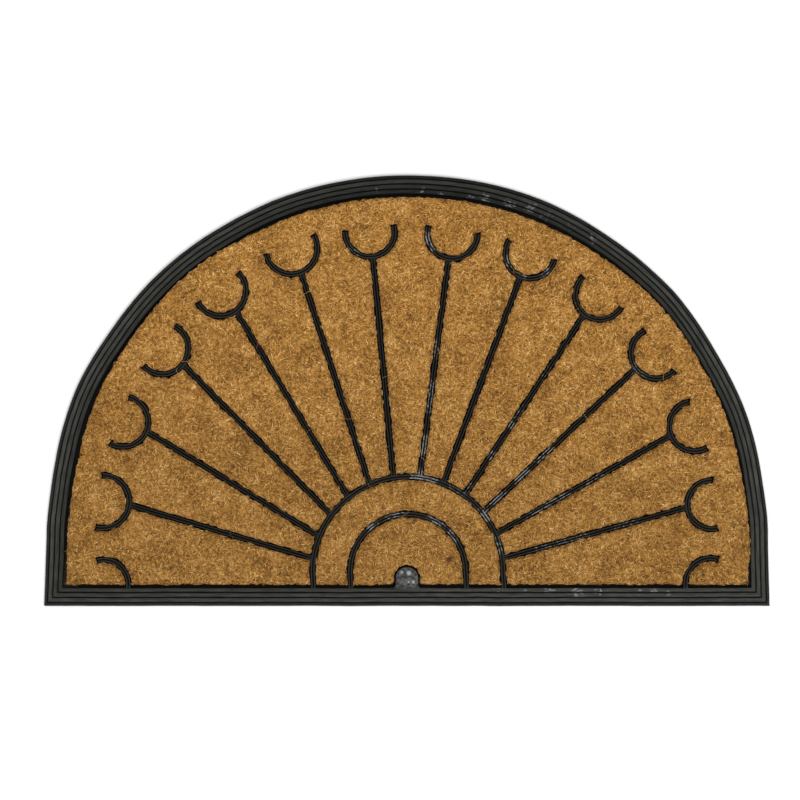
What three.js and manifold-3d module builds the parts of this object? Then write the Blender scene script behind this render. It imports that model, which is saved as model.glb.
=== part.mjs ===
// Half-moon doormat: one rubber moulding with a fanlight tracery of ribs, filled with three fields of coir.
// Millimetres, +Z up. It lies on z = 0 with its straight edge towards -Y and its arch towards +Y.
import * as THREE from 'three';
import { mergeVertices } from 'three/addons/utils/BufferGeometryUtils.js';
import Module from 'manifold-3d';

const wasm = await Module();
wasm.setup();

// Outline of the mat: a half circle standing on two short, slightly splayed legs.
const footHalfWidth = 375;
const archRadius = 374;
const legHeight = 71;
const archSteps = 60;

// How far the moulded edge wanders off the true half circle, going round from the right leg to the left one.
const edgeWander = [
  { angle: 0, out: -0.5 },
  { angle: 8, out: -1.6 },
  { angle: 20, out: -0.3 },
  { angle: 30, out: -1.3 },
  { angle: 43, out: 1.1 },
  { angle: 55, out: 0.5 },
  { angle: 68, out: 1.6 },
  { angle: 90, out: 0.3 },
  { angle: 108, out: 0.5 },
  { angle: 120, out: -0.1 },
  { angle: 132, out: 0.7 },
  { angle: 145, out: -0.5 },
  { angle: 155, out: 0.8 },
  { angle: 172, out: -2.6 },
  { angle: 180, out: -1.4 },
];

// Section of the border, from the outer edge inwards: a bevelled lip, then lands parted by fine grooves.
const backingTop = 2.5;
const borderWidth = 19.4;
const lip = { edgeTop: 2.6, bevelEnd: 2.8, bevelTop: 4.8 };
const grooves = { count: 3, first: 3.8, pitch: 5.3, halfWidth: 0.9, depth: 1.5 };
const landRise = 0.95;
const landCrown = 0.3;
const innerEdgeRound = 0.7;

// Fanlight tracery
const ribWidth = 5;
const ribTop = 8.4;
const ribBeadDrop = 0.9;
const ribFootInset = borderWidth - 1.2;
const hubCentreAt = { x: 1, rise: 35.7 };
const hubRadii = { outer: 98.3, inner: 59.7 };
const hubFootShift = 1.5;
const hubSteps = 26;
const crescentPathRadius = 319;
const crescentFootRise = 24.9;
const crescentRadius = 25.9;
const crescentSpan = THREE.MathUtils.degToRad(193);
const crescentSteps = 12;
const spokeOriginRise = 20.5;
const spokeTop = 8;
const spokeInset = 1.1;

// The crescents from right to left, and how each strays from its even place: out from the path's centre,
// round it in degrees, larger than the rest, and how far its spoke's line is set to the left at the hub.
const crescentStrays = [
  { out: -5.4, turn: -0.3, grow: 0, spoke: 0 },
  { out: -2.9, turn: -0.65, grow: -0.9, spoke: 1.8 },
  { out: -0.8, turn: -0.75, grow: 0, spoke: 2.5 },
  { out: 1, turn: -0.6, grow: 0.2, spoke: 1.8 },
  { out: 0.7, turn: -0.7, grow: -0.7, spoke: 2.3 },
  { out: 0.6, turn: -0.8, grow: -0.4, spoke: 2.2 },
  { out: -2, turn: -0.95, grow: -0.1, spoke: 1.4 },
  { out: -1.4, turn: -0.65, grow: -0.4, spoke: 3.6 },
  { out: 2.4, turn: -0.9, grow: 0.8, spoke: 4.2 },
  { out: 0.1, turn: -0.75, grow: 0.2, spoke: 4 },
  { out: -0.2, turn: -0.65, grow: 0.7, spoke: 3.8 },
  { out: -2.6, turn: -0.3, grow: 0.1, spoke: 2.6 },
  { out: -3.1, turn: 0.1, grow: 1.4, spoke: -0.6 },
  { out: -6.2, turn: 0.5, grow: -0.7, spoke: 0 },
];

// Boss at the middle of the straight side
const bossRadius = 11.8;
const bossCentreRise = 29.2;
const bossTop = 8.4;
const bossEdgeRound = 1;
const bossFlare = 2;
const bossSteps = 12;

// Coir
const gap = 0.3;
const pocketLength = 1.4;
const pileTop = 10.8;
const pileWallTop = 7.4;
const pileShoulder = { back: 0.8, z: 9.7 };
const pileEdgeBack = 2.4;

const rubberMaterial = new THREE.MeshStandardMaterial({ color: 0x3b3b38, roughness: 0.72, metalness: 0 });
const coirMaterial = new THREE.MeshStandardMaterial({ color: 0x9b6e38, roughness: 0.95, metalness: 0 });

// The edge's wander at an angle in degrees, eased from one row of the table to the next.
function wanderAt(angle) {
  const next = Math.max(1, edgeWander.findIndex((row) => row.angle >= angle));
  const from = edgeWander[next - 1];
  const to = edgeWander[next];
  const ease = THREE.MathUtils.smoothstep(angle, from.angle, to.angle);
  return THREE.MathUtils.lerp(from.out, to.out, ease);
}

const archAngles = Array.from({ length: archSteps + 1 }, (_, i) => (180 * i) / archSteps);
const archTop = Math.max(...archAngles.map((angle) => {
  return (archRadius + wanderAt(angle)) * Math.sin(THREE.MathUtils.degToRad(angle));
}));
const bottomY = -(legHeight + archTop) / 2;
const archCentreY = bottomY + legHeight;
const hubCentre = new THREE.Vector2(hubCentreAt.x, bottomY + hubCentreAt.rise);

// The mat's outline drawn in by some millimetres, anticlockwise from the left foot.
// Every inset has as many points.
function outlineAt(inset) {
  const feet = [-1, 1].map((side) => {
    return new THREE.Vector2(side * (footHalfWidth - inset), bottomY + inset);
  });
  const arch = archAngles.map((angle) => {
    const radius = archRadius + wanderAt(angle) - inset;
    const turn = THREE.MathUtils.degToRad(angle);
    return new THREE.Vector2(radius * Math.cos(turn), archCentreY + radius * Math.sin(turn));
  });
  return [...feet, ...arch];
}

// A closed body whose wall runs through a row of like rings of points, with a flat face over each end.
// The rings turn anticlockwise as seen from the last one's side, as does plan, an end face's flat figure.
function ringedBody(rings, plan) {
  const count = plan.length;
  const faces = [];
  for (let ring = 0; ring < rings.length - 1; ring += 1) {
    for (let i = 0; i < count; i += 1) {
      const next = (i + 1) % count;
      const low = ring * count;
      const high = low + count;
      faces.push(low + i, low + next, high + next);
      faces.push(low + i, high + next, high + i);
    }
  }
  const last = (rings.length - 1) * count;
  for (const [i, j, k] of THREE.ShapeUtils.triangulateShape(plan, [])) {
    faces.push(i, k, j);
    faces.push(last + i, last + j, last + k);
  }
  const geometry = new THREE.BufferGeometry();
  geometry.setFromPoints(rings.flat());
  geometry.setIndex(faces);
  return toSolid(geometry);
}

// A body of level outlines, each at its own height, from the lowest on.
function stackedBody(levels) {
  const rings = levels.map(({ points, z }) => points.map(({ x, y }) => new THREE.Vector3(x, y, z)));
  return ringedBody(rings, levels.at(-1).points);
}

// A section, as sides from the line and heights, swept along a line of points in plan and mitred at each.
function sweep(line, section) {
  const rings = line.map((point, i) => {
    const before = i > 0 ? point.clone().sub(line[i - 1]).normalize() : null;
    const after = i < line.length - 1 ? line[i + 1].clone().sub(point).normalize() : null;
    const along = (before ?? after).clone().add(after ?? before).normalize();
    const mitre = 1 / along.dot(after ?? before);
    return section.map(({ side, z }) => {
      return new THREE.Vector3(point.x - along.y * side * mitre, point.y + along.x * side * mitre, z);
    });
  });
  return ringedBody(rings, section.map(({ side, z }) => new THREE.Vector2(side, z)));
}

function toSolid(geometry) {
  const bare = geometry.clone();
  bare.deleteAttribute('normal');
  bare.deleteAttribute('uv');
  const merged = mergeVertices(bare, 1e-4);
  return new wasm.Manifold(new wasm.Mesh({
    numProp: 3,
    vertProperties: new Float32Array(merged.attributes.position.array),
    triVerts: new Uint32Array(merged.index.array),
  }));
}

function toGeometry(solid) {
  const mesh = solid.getMesh();
  const geometry = new THREE.BufferGeometry();
  geometry.setAttribute('position', new THREE.BufferAttribute(mesh.vertProperties, 3));
  geometry.setIndex(new THREE.BufferAttribute(mesh.triVerts, 1));
  geometry.computeVertexNormals();
  return geometry;
}

const join = (solids) => solids.reduce((whole, solid) => whole.add(solid));

// Points along a round stretch in plan, from one angle to another.
function arcPoints(centre, radius, start, end, steps) {
  return Array.from({ length: steps + 1 }, (_, i) => {
    const turn = THREE.MathUtils.lerp(start, end, i / steps);
    return new THREE.Vector2(centre.x + radius * Math.cos(turn), centre.y + radius * Math.sin(turn));
  });
}

// Two rounded beads side by side, rooted in the backing.
const ribRoot = backingTop / 2;
function ribSection(top) {
  return [
    { side: -ribWidth / 2, z: ribRoot },
    { side: ribWidth / 2, z: ribRoot },
    { side: ribWidth / 2, z: top - ribBeadDrop },
    { side: ribWidth / 4, z: top },
    { side: 0, z: top - ribBeadDrop },
    { side: -ribWidth / 4, z: top },
    { side: -ribWidth / 2, z: top - ribBeadDrop },
  ];
}

// The room that the coir leaves round a rib: upright at its foot, opening out where the pile is rounded.
const above = pileTop + (pileTop - pileShoulder.z);
const channelSides = [
  { back: 0, z: 0 },
  { back: 0, z: pileWallTop },
  pileShoulder,
  { back: 2 * pileEdgeBack - pileShoulder.back, z: above },
];
const channelSection = [
  ...channelSides.map(({ back, z }) => ({ side: ribWidth / 2 + gap + back, z })),
  ...channelSides.map(({ back, z }) => ({ side: -ribWidth / 2 - gap - back, z })).reverse(),
];

// Crescents stand near even steps along a stilted arch inside the border, and open away from its centre.
function crescentPlace(stray, index) {
  const leg = legHeight - crescentFootRise;
  const length = 2 * leg + Math.PI * crescentPathRadius;
  const along = (length * index) / (crescentStrays.length - 1);
  const turn = THREE.MathUtils.clamp((along - leg) / crescentPathRadius, 0, Math.PI);
  const drop = Math.max(0, leg - along, along - leg - Math.PI * crescentPathRadius);
  const x = crescentPathRadius * Math.cos(turn);
  const y = crescentPathRadius * Math.sin(turn) - drop;
  const facing = Math.atan2(-x, y) + Math.PI / 2 + THREE.MathUtils.degToRad(stray.turn);
  const outward = new THREE.Vector2(Math.cos(facing), Math.sin(facing));
  const centre = new THREE.Vector2(0, archCentreY).addScaledVector(outward, Math.hypot(x, y) + stray.out);
  return { centre, facing, outward, radius: crescentRadius + stray.grow, spoke: stray.spoke };
}

const crescents = crescentStrays.map(crescentPlace);
const fullCrescents = crescents.slice(1, -1);

function crescentLine({ centre, facing, radius }) {
  const back = facing + Math.PI;
  return arcPoints(centre, radius, back - crescentSpan / 2, back + crescentSpan / 2, crescentSteps);
}

// A spoke runs from the hub arch to the back of its crescent, on a line through a point near the border.
// It is a little lower than they are, and stops under the near bead of each.
function spokeLine({ centre, outward, radius, spoke }) {
  const origin = new THREE.Vector2(-outward.y, outward.x).multiplyScalar(spoke);
  origin.y += bottomY + spokeOriginRise;
  const back = centre.clone().addScaledVector(outward, -radius);
  const along = back.clone().sub(origin).normalize();
  const offset = origin.clone().sub(hubCentre);
  const across = offset.dot(along);
  const reach = -across + Math.sqrt(across * across - offset.lengthSq() + hubRadii.outer ** 2);
  return [origin.addScaledVector(along, reach + spokeInset), back.addScaledVector(along, -spokeInset)];
}

// A hub arch is a half circle on two legs that lean a little and run into the straight border.
function hubLine(radius) {
  const footY = bottomY + borderWidth / 2;
  const footX = hubCentre.x + hubFootShift;
  return [
    new THREE.Vector2(footX + radius, footY),
    ...arcPoints(hubCentre, radius, 0, Math.PI, hubSteps),
    new THREE.Vector2(footX - radius, footY),
  ];
}

// The same line with both of its end stretches made longer.
function lengthened(line, extra) {
  const ends = [[line[0], line[1]], [line.at(-1), line.at(-2)]].map(([end, inner]) => {
    return end.clone().addScaledVector(end.clone().sub(inner).normalize(), extra);
  });
  return [ends[0], ...line, ends[1]];
}

const hubLines = Object.values(hubRadii).map(hubLine);
const crescentLines = crescents.map(crescentLine);
const spokeLines = fullCrescents.map(spokeLine);

// The boss is a round-headed tongue that flares at 45 degrees where it meets the border.
// Growing it keeps the shape.
function bossOutline(grow) {
  const innerEdgeY = bottomY + borderWidth;
  const headY = bottomY + bossCentreRise;
  const halfWidth = bossRadius + grow;
  const flareEnd = bossRadius + bossFlare + grow * Math.SQRT2;
  const flareTop = innerEdgeY + bossFlare + grow * (Math.SQRT2 - 1);
  const head = Array.from({ length: bossSteps + 1 }, (_, i) => {
    const turn = (Math.PI * i) / bossSteps;
    return new THREE.Vector2(halfWidth * Math.cos(turn), headY + halfWidth * Math.sin(turn));
  });
  return [
    new THREE.Vector2(-flareEnd, bottomY + ribFootInset),
    new THREE.Vector2(flareEnd, bottomY + ribFootInset),
    new THREE.Vector2(flareEnd, innerEdgeY),
    new THREE.Vector2(halfWidth, flareTop),
    ...head,
    new THREE.Vector2(-halfWidth, flareTop),
    new THREE.Vector2(-flareEnd, innerEdgeY),
  ];
}

// The border's section as insets and heights: the lip, a land after each groove, the drop to the backing.
function borderSection() {
  const levels = [
    { inset: 0, z: 0 },
    { inset: 0, z: lip.edgeTop },
    { inset: lip.bevelEnd, z: lip.bevelTop },
  ];
  for (let i = 0; i < grooves.count; i += 1) {
    const middle = grooves.first + i * grooves.pitch;
    const before = lip.bevelTop + i * landRise;
    const after = before + landRise;
    const floor = before - grooves.depth;
    const landEnd = i < grooves.count - 1 ? middle + grooves.pitch : borderWidth;
    levels.push({ inset: middle - grooves.halfWidth, z: before });
    levels.push({ inset: middle, z: floor });
    levels.push({ inset: middle + grooves.halfWidth, z: after });
    levels.push({ inset: (middle + landEnd) / 2, z: after + landCrown });
  }
  const innerTop = lip.bevelTop + grooves.count * landRise;
  levels.push({ inset: borderWidth - innerEdgeRound, z: innerTop });
  levels.push({ inset: borderWidth, z: innerTop - innerEdgeRound });
  levels.push({ inset: borderWidth, z: backingTop });
  return levels;
}

function makeRubberBase() {
  const moulding = stackedBody(borderSection().map(({ inset, z }) => ({ points: outlineAt(inset), z })));
  const inside = outlineAt(ribFootInset);
  const reach = stackedBody([{ points: inside, z: 0 }, { points: inside, z: above }]);
  const ribs = [
    ...[...hubLines, ...crescentLines].map((line) => sweep(line, ribSection(ribTop))),
    ...spokeLines.map((line) => sweep(line, ribSection(spokeTop))),
  ];
  const boss = stackedBody([
    { points: bossOutline(0), z: ribRoot },
    { points: bossOutline(0), z: bossTop - bossEdgeRound },
    { points: bossOutline(-bossEdgeRound), z: bossTop },
  ]);
  return moulding.add(join([...ribs, boss]).intersect(reach));
}

// The whole fill before the tracery parts it, less the room round each rib and the boss.
function makeCoir() {
  const foot = borderWidth + gap;
  const fill = stackedBody([
    { points: outlineAt(foot), z: backingTop + gap },
    { points: outlineAt(foot), z: pileWallTop },
    { points: outlineAt(foot + pileShoulder.back), z: pileShoulder.z },
    { points: outlineAt(foot + pileEdgeBack), z: pileTop },
  ]);
  const pocketed = crescentLines.map((line) => lengthened(line, pocketLength));
  const channels = [...hubLines, ...pocketed, ...spokeLines].map((line) => sweep(line, channelSection));
  const bossRoom = stackedBody(channelSides.map(({ back, z }) => ({ points: bossOutline(gap + back), z })));
  return fill.subtract(join([...channels, bossRoom]));
}

// Everything within a hub arch, down into the straight border, for parting the coir into its fields.
function withinHub(line) {
  return stackedBody([{ points: line, z: 0 }, { points: line, z: above }]);
}

const coir = makeCoir();
const [withinOuter, withinInner] = hubLines.map(withinHub);
const pieces = [
  { name: 'rubber_base', solid: makeRubberBase(), material: rubberMaterial },
  { name: 'coir_fan', solid: coir.subtract(withinOuter), material: coirMaterial },
  { name: 'coir_ring', solid: coir.intersect(withinOuter).subtract(withinInner), material: coirMaterial },
  { name: 'coir_core', solid: coir.intersect(withinInner), material: coirMaterial },
];

const group = new THREE.Group();
for (const { name, solid, material } of pieces) {
  const mesh = new THREE.Mesh(toGeometry(solid), material);
  mesh.name = name;
  group.add(mesh);
}

export default group;
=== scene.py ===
import math

import bpy
import numpy as np
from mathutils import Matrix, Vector, geometry, noise


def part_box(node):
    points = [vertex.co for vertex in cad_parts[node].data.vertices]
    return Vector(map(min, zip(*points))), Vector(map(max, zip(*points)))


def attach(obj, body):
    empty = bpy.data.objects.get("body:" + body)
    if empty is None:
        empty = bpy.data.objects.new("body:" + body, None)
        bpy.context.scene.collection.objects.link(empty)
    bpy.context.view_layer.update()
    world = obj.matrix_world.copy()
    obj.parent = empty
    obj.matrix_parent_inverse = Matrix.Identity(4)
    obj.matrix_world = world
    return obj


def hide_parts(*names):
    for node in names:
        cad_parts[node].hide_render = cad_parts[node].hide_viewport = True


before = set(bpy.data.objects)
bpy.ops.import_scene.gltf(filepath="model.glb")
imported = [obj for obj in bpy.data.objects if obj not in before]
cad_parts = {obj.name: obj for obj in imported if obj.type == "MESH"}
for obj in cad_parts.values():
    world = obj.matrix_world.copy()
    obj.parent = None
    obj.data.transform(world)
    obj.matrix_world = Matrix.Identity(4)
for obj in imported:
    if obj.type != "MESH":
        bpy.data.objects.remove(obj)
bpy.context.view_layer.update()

# Half-moon doormat: a black rubber moulding with a fanlight tracery, filled with golden brown coir.
# Sizes are in millimetres and turned into metres where a mesh is made.
mm = 0.001
rubberLow, rubberHigh = [np.array(corner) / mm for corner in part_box("rubber_base")]
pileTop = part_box("coir_fan")[1].z / mm
ribTop = rubberHigh[2]

# The plan that the moulding and the coir share
plan = {
    "archRadius": 374.0,
    "legHeight": 71.0,
    "borderWidth": 19.4,
    "backingTop": 2.5,
    "hubX": 1.0,
    "hubRise": 35.7,
    "hubRadii": (98.3, 59.7),
    "hubFootShift": 1.5,
    "crescentPath": 319.0,
    "crescentFootRise": 24.9,
    "crescentRadius": 25.9,
    "crescentSpan": math.radians(193),
    "spokeOriginRise": 20.5,
    "ribWidth": 5.0,
    "bossRadius": 11.8,
    "bossRise": 29.2,
    "bossFlare": 2.0,
}
# How far the moulded edge strays from a true half circle, by angle
edgeWander = {
    "angle": [0, 8, 20, 30, 43, 55, 68, 90, 108, 120, 132, 145, 155, 172, 180],
    "out": [-0.5, -1.6, -0.3, -1.3, 1.1, 0.5, 1.6, 0.3, 0.5, -0.1, 0.7, -0.5, 0.8, -2.6, -1.4],
}
# The crescents from right to left, and how each strays from its even place: out from the path's centre,
# round it in degrees, larger than the rest, and how far its spoke's line is set to the left at the hub
crescentStrays = {
    "out": [-5.4, -2.9, -0.8, 1.0, 0.7, 0.6, -2.0, -1.4, 2.4, 0.1, -0.2, -2.6, -3.1, -6.2],
    "turn": [-0.3, -0.65, -0.75, -0.6, -0.7, -0.8, -0.95, -0.65, -0.9, -0.75, -0.65, -0.3, 0.1, 0.5],
    "grow": [0.0, -0.9, 0.0, 0.2, -0.7, -0.4, -0.1, -0.4, 0.8, 0.2, 0.7, 0.1, 1.4, -0.7],
    "spoke": [0.0, 1.8, 2.5, 1.8, 2.3, 2.2, 1.4, 3.6, 4.2, 4.0, 3.8, 2.6, -0.6, 0.0],
}

borderWidth = plan["borderWidth"]
archRadius = plan["archRadius"]
footHalfWidth = rubberHigh[0]
bottomY = rubberLow[1]
archCentreY = bottomY + plan["legHeight"]
bossHeadY = bottomY + plan["bossRise"]
hubCentre = np.array([plan["hubX"], bottomY + plan["hubRise"]])
halfRib = plan["ribWidth"] / 2


def smooth(low, high, value):
    share = np.clip((np.asarray(value, float) - low) / (high - low), 0, 1)
    return share * share * (3 - 2 * share)


def unit(run):
    return run / np.linalg.norm(run)


def leftOf(along):
    return np.array([-along[1], along[0]])


def eased(table, column, angle):
    # one column of a table at an angle, eased from one row to the next
    angles, values = table["angle"], table[column]
    angle = np.asarray(angle, float)
    row = np.clip(np.searchsorted(angles, angle), 1, len(angles) - 1)
    share = smooth(np.take(angles, row - 1), np.take(angles, row), angle)
    return np.take(values, row - 1) * (1 - share) + np.take(values, row) * share


def wanderAt(angle):
    return eased(edgeWander, "out", angle)


def aroundArch(x, y):
    # degrees round the arch's centre from its right foot, running on past both feet
    return np.degrees(np.arctan2(-x, y - archCentreY)) + 90


def insetOf(x, y):
    # how far a point lies inside the mat's outline
    rise = y - archCentreY
    angle = np.degrees(np.arctan2(np.maximum(rise, 0), x))
    wander = wanderAt(angle)
    splay = (footHalfWidth - archRadius - wander) * np.clip(-rise / plan["legHeight"], 0, 1)
    side = archRadius + wander + splay - np.hypot(x, np.maximum(rise, 0))
    return np.minimum(side, y - bottomY)


def crescentPlaces():
    # each crescent's middle, the way it opens, its radius and its spoke's set-off
    leg = plan["legHeight"] - plan["crescentFootRise"]
    path = plan["crescentPath"]
    length = 2 * leg + math.pi * path
    places = []
    strays = list(zip(*crescentStrays.values()))
    for index, (out, turn, grow, spoke) in enumerate(strays):
        along = length * index / (len(strays) - 1)
        bend = min(max((along - leg) / path, 0), math.pi)
        drop = max(0, leg - along, along - leg - math.pi * path)
        x = path * math.cos(bend)
        y = path * math.sin(bend) - drop
        facing = math.atan2(-x, y) + math.pi / 2 + math.radians(turn)
        away = math.hypot(x, y) + out
        centre = np.array([away * math.cos(facing), archCentreY + away * math.sin(facing)])
        places.append((centre, facing, plan["crescentRadius"] + grow, spoke))
    return places


def spokeEnds(centre, facing, radius, spoke):
    # where a spoke leaves the outer hub arch, and where it meets its crescent's back
    outward = np.array([math.cos(facing), math.sin(facing)])
    origin = np.array([0.0, bottomY + plan["spokeOriginRise"]]) + spoke * leftOf(outward)
    back = centre - radius * outward
    along = unit(back - origin)
    offset = origin - hubCentre
    across = offset @ along
    reach = -across + math.sqrt(across * across - offset @ offset + plan["hubRadii"][0] ** 2)
    return origin + along * reach, back


crescents = crescentPlaces()
spokes = [spokeEnds(*place) for place in crescents[1:-1]]


def hubFoot(side):
    # a hub arch's legs lean a little to the right on their way down
    return np.array([hubCentre[0] + side + plan["hubFootShift"], bottomY + borderWidth / 2])


def segmentDistance(x, y, start, end):
    run = end - start
    share = np.clip(((x - start[0]) * run[0] + (y - start[1]) * run[1]) / (run @ run), 0, 1)
    return np.hypot(x - start[0] - share * run[0], y - start[1] - share * run[1])


def arcDistance(x, y, centre, radius, middle, halfSpan, pocket=0.0):
    # past an arc's blunt ends the distance starts anew after a short pocket
    dx = x - centre[0]
    dy = y - centre[1]
    turn = (np.arctan2(dy, dx) - middle + math.pi) % (2 * math.pi) - math.pi
    side = np.abs(np.hypot(dx, dy) - radius)
    past = (np.abs(turn) - halfSpan) * radius
    return np.where(past > 0, np.maximum(side, past - pocket + halfRib), side)


def ribDistance(x, y, pocket):
    # distance to the nearest rib's middle line; pocket is the room kept past a crescent's ends
    nearest = np.inf
    for radius in plan["hubRadii"]:
        nearest = np.minimum(nearest, arcDistance(x, y, hubCentre, radius, math.pi / 2, math.pi / 2))
        for side in (-1, 1):
            top = hubCentre + [side * radius, 0]
            nearest = np.minimum(nearest, segmentDistance(x, y, top, hubFoot(side * radius)))
    halfSpan = plan["crescentSpan"] / 2
    for centre, facing, radius, _ in crescents:
        distance = arcDistance(x, y, centre, radius, facing + math.pi, halfSpan, pocket)
        nearest = np.minimum(nearest, distance)
    for start, end in spokes:
        nearest = np.minimum(nearest, segmentDistance(x, y, start, end))
    return nearest


def ribPlaces(x, y):
    # for each point the nearest rib: how far along it, how far to its side, and which one
    nearest = np.full(len(x), np.inf)
    places = np.zeros((len(x), 3))

    def claim(distance, along, side, number):
        closer = distance < nearest
        nearest[closer] = distance[closer]
        places[closer] = np.column_stack([along, side, np.full(len(x), 10.0 * number)])[closer]

    arcs = [(hubCentre, radius) for radius in plan["hubRadii"]]
    arcs += [(centre, radius) for centre, _, radius, _ in crescents]
    for number, (centre, radius) in enumerate(arcs):
        side = np.hypot(x - centre[0], y - centre[1]) - radius
        along = np.arctan2(y - centre[1], x - centre[0]) * radius
        claim(np.where(np.abs(side) < plan["ribWidth"], np.abs(side), np.inf), along, side, number)
    for number, (start, end) in enumerate(spokes):
        run = unit(end - start)
        side = (x - start[0]) * run[1] - (y - start[1]) * run[0]
        along = (x - start[0]) * run[0] + (y - start[1]) * run[1]
        claim(segmentDistance(x, y, start, end), along, side, number - 20)
    return places


def bossDistance(x, y):
    # the boss has a round head and widens where it meets the border
    flareTop = bottomY + borderWidth + plan["bossFlare"]
    beyond = np.hypot(x, np.maximum(y - bossHeadY, 0)) - plan["bossRadius"]
    return beyond - np.clip(flareTop - y, 0, plan["bossFlare"])


def grain(points, size, seed):
    # soft noise from -1 to 1 at points in plan, with lumps of about that size
    return np.array([noise.noise((x / size, y / size, seed)) for x, y in points])


def grains(points, rows):
    # several soft noises added up; each row is a size, a share and a seed
    return sum(share * grain(points, size, seed) for size, share, seed in rows)


def makeMesh(name, vertices, faces):
    mesh = bpy.data.meshes.new(name)
    mesh.from_pydata([tuple(v) for v in np.asarray(vertices, float) * mm], [], [tuple(f) for f in faces])
    mesh.validate()
    mesh.update()
    return mesh


def placePiece(name, data):
    piece = bpy.data.objects.new(name, data)
    bpy.context.scene.collection.objects.link(piece)
    return piece


def bakedMesh(piece):
    # the piece with its modifiers, as a plain mesh
    evaluated = piece.evaluated_get(bpy.context.evaluated_depsgraph_get())
    return bpy.data.meshes.new_from_object(evaluated)


def shadeRound(mesh, sharpFrom):
    mesh.shade_smooth()
    mesh.set_sharp_from_angle(angle=math.radians(sharpFrom))


def writeValues(mesh, name, values, kind="FLOAT"):
    attribute = mesh.attributes.new(name, kind, "POINT")
    flat = np.asarray(values, np.float32).ravel()
    attribute.data.foreach_set("vector" if kind == "FLOAT_VECTOR" else "value", flat)


def ringFaces(rings, count):
    # quads between like rings of points, and one face over each end
    faces = []
    for ring in range(rings - 1):
        for i in range(count):
            follow = (i + 1) % count
            low = ring * count
            faces.append((low + i, low + follow, low + count + follow, low + count + i))
    faces.append(tuple(range(count - 1, -1, -1)))
    faces.append(tuple((rings - 1) * count + i for i in range(count)))
    return faces


def skin(rings):
    return np.concatenate(rings), ringFaces(len(rings), len(rings[0]))


def stack(levels):
    # level outlines, each with its own height
    return skin([np.column_stack([points, np.full(len(points), float(z))]) for points, z in levels])


# Rubber moulding

rubber = {
    "stepLength": 4.0,
    "bevelTop": 4.8,
    "grooveCount": 3,
    "grooveFirst": 3.8,
    "groovePitch": 5.3,
    "grooveDepth": 1.5,
    "landRise": 0.95,
    "landCrown": 0.3,
    "ribFootInset": 18.2,
    "ribRoot": 1.2,
    "spokeDrop": 0.4,
    "spokeInset": 1.1,
    "ribStep": 2.4,
    "webReach": 6.6,
    "waviness": 0.3,
    "slowWave": 38.0,
    "quickWave": 9.0,
    "topWaviness": 0.12,
    "topWave": 16.0,
    "sharpFrom": 38,
}
# half of a rib's section: how far to the side of its middle, and how far under its top
ribProfile = [(2.5, 1.9), (2.33, 1.1), (2.0, 0.42), (1.66, 0.06), (1.36, 0.0), (1.02, 0.2), (0.62, 0.85)]
ribValley = 1.5
# how a crescent's end is rounded: distance from its tip, share of the width, and drop
ribTip = [(0.0, 0.5, 1.5), (0.35, 0.8, 0.55)]


def borderSection():
    # the border from the outside in, as inset and height
    rows = [(0, 0), (0, 1.9), (0.12, 2.4), (0.5, 2.95), (1.5, 3.75), (2.4, 4.45), (2.9, 4.74)]
    for index in range(rubber["grooveCount"]):
        middle = rubber["grooveFirst"] + index * rubber["groovePitch"]
        before = rubber["bevelTop"] + index * rubber["landRise"]
        after = before + rubber["landRise"]
        floor = before - rubber["grooveDepth"]
        lastLand = index == rubber["grooveCount"] - 1
        landEnd = borderWidth if lastLand else middle + rubber["groovePitch"]
        rows += [(middle - 0.8, before - 0.1), (middle - 0.5, before - 0.5)]
        rows += [(middle - 0.22, floor + 0.16), (middle, floor), (middle + 0.22, floor + 0.2)]
        rows.append((middle + 0.52, after - 0.8))
        start = middle + 0.85
        stop = landEnd - 0.9
        for share in (0.0, 0.12, 0.3, 0.5, 0.7, 0.88, 1.0):
            crown = rubber["landCrown"] * (1 - (2 * share - 1) ** 2)
            dip = 0.1 if share in (0.0, 1.0) else 0
            rows.append((start + share * (stop - start), after + crown - dip))
    top = rubber["bevelTop"] + rubber["grooveCount"] * rubber["landRise"]
    rows += [(borderWidth - 0.4, top - 0.3), (borderWidth - 0.08, top - 0.7), (borderWidth, top - 1.2)]
    return rows + [(borderWidth, plan["backingTop"])]


def outlineRing(inset, step):
    # the outline drawn in by some millimetres, anticlockwise from the left foot
    foot = footHalfWidth - inset
    floorCount = int(2 * footHalfWidth / step)
    legCount = int(plan["legHeight"] / step)
    archCount = int(math.pi * archRadius / step)
    floor = [(-foot + 2 * foot * i / floorCount, bottomY + inset) for i in range(floorCount)]
    angles = np.linspace(0, 180, archCount + 1)
    radii = archRadius + wanderAt(angles) - inset
    turns = np.radians(angles)
    arch = np.stack([radii * np.cos(turns), archCentreY + radii * np.sin(turns)], 1)
    corners = np.array([[foot, bottomY + inset], [-foot, bottomY + inset]])
    shares = np.arange(legCount)[:, None] / legCount
    rightLeg = corners[0] + shares * (arch[0] - corners[0])
    leftLeg = arch[-1] + shares[1:] * (corners[1] - arch[-1])
    return np.concatenate([np.array(floor), rightLeg, arch, leftLeg])


def makeBorder():
    return stack([(outlineRing(inset, rubber["stepLength"]), z) for inset, z in borderSection()])


def ribRing(point, along, top, widen=1.0, drop=0.0):
    across = leftOf(along)
    sides = [(side, top - drop - under) for side, under in ribProfile]
    rows = [(-sides[0][0], rubber["ribRoot"]), (sides[0][0], rubber["ribRoot"])]
    rows += sides + [(0.0, top - drop - ribValley)] + [(-side, z) for side, z in reversed(sides)]
    return [np.append(point + across * side * widen, z) for side, z in rows]


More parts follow.
